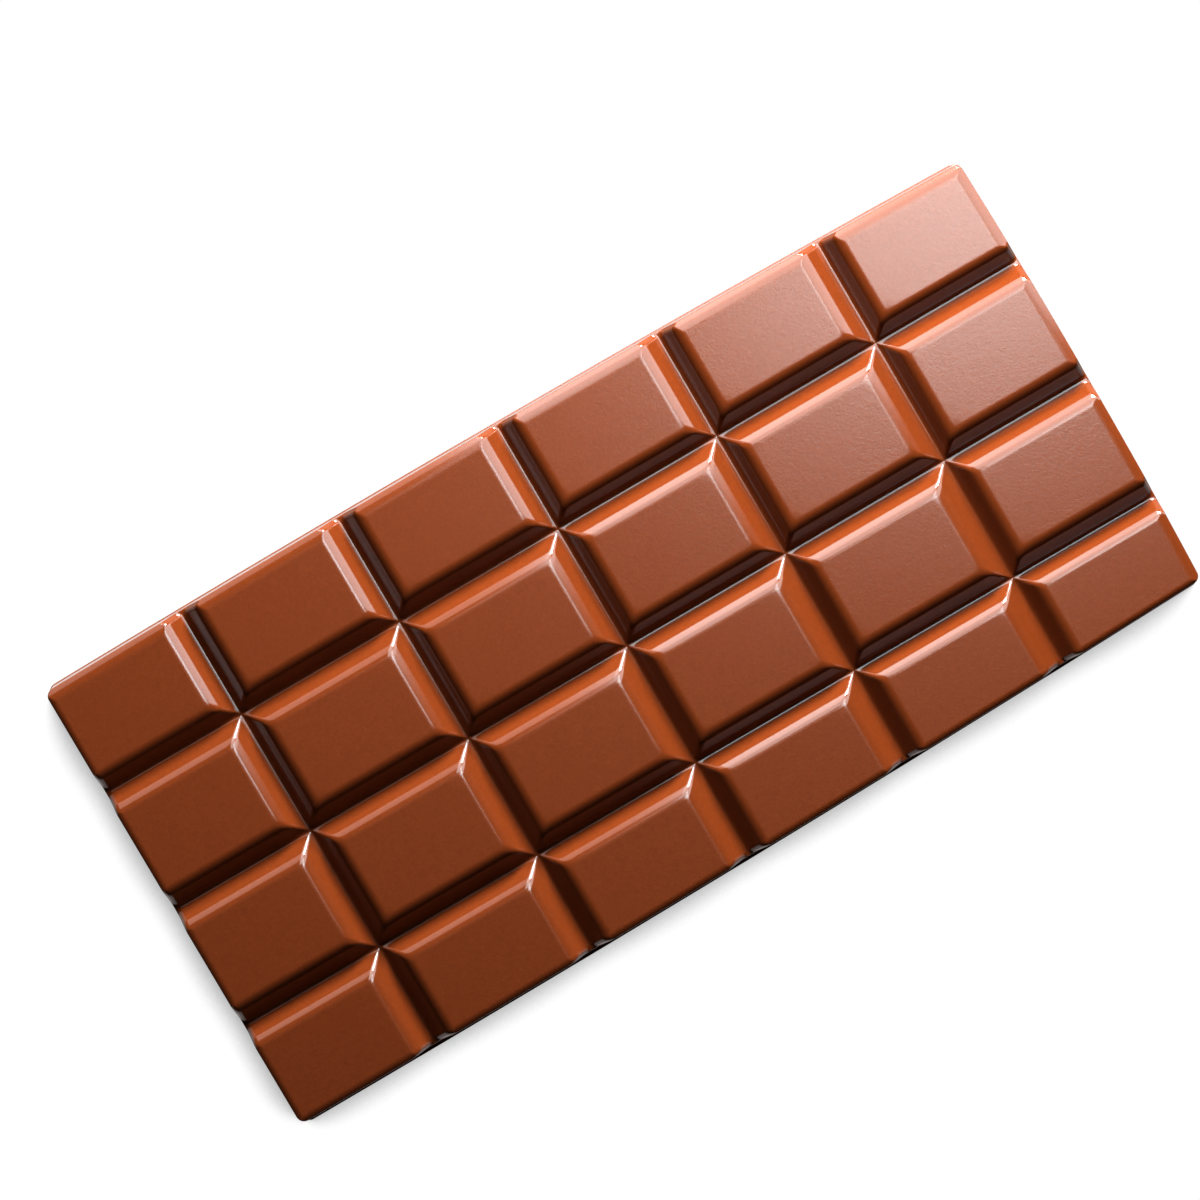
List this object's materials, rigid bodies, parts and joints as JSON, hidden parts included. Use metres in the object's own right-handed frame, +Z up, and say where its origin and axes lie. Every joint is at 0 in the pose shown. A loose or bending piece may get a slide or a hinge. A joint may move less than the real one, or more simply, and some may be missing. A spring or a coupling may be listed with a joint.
{
  "type": "chocolate bar",
  "caption": "Flat moulded milk chocolate tablet with a flat back, its top parted by a grid of grooves into rounded rectangular pieces that snap off.",
  "frame": {"origin": "middle of the flat back, on the surface the bar lies on", "axes": "+X along the bar's length, +Y across its width, +Z up out of the scored top"},
  "size_m": [0.1558, 0.0756, 0.008],
  "materials": {
    "milk_chocolate": "satin milk chocolate, glossier where the mould polished the walls"
  },
  "bodies": {
    "root": {"bar": "milk_chocolate"}
  },
  "joints": []
}
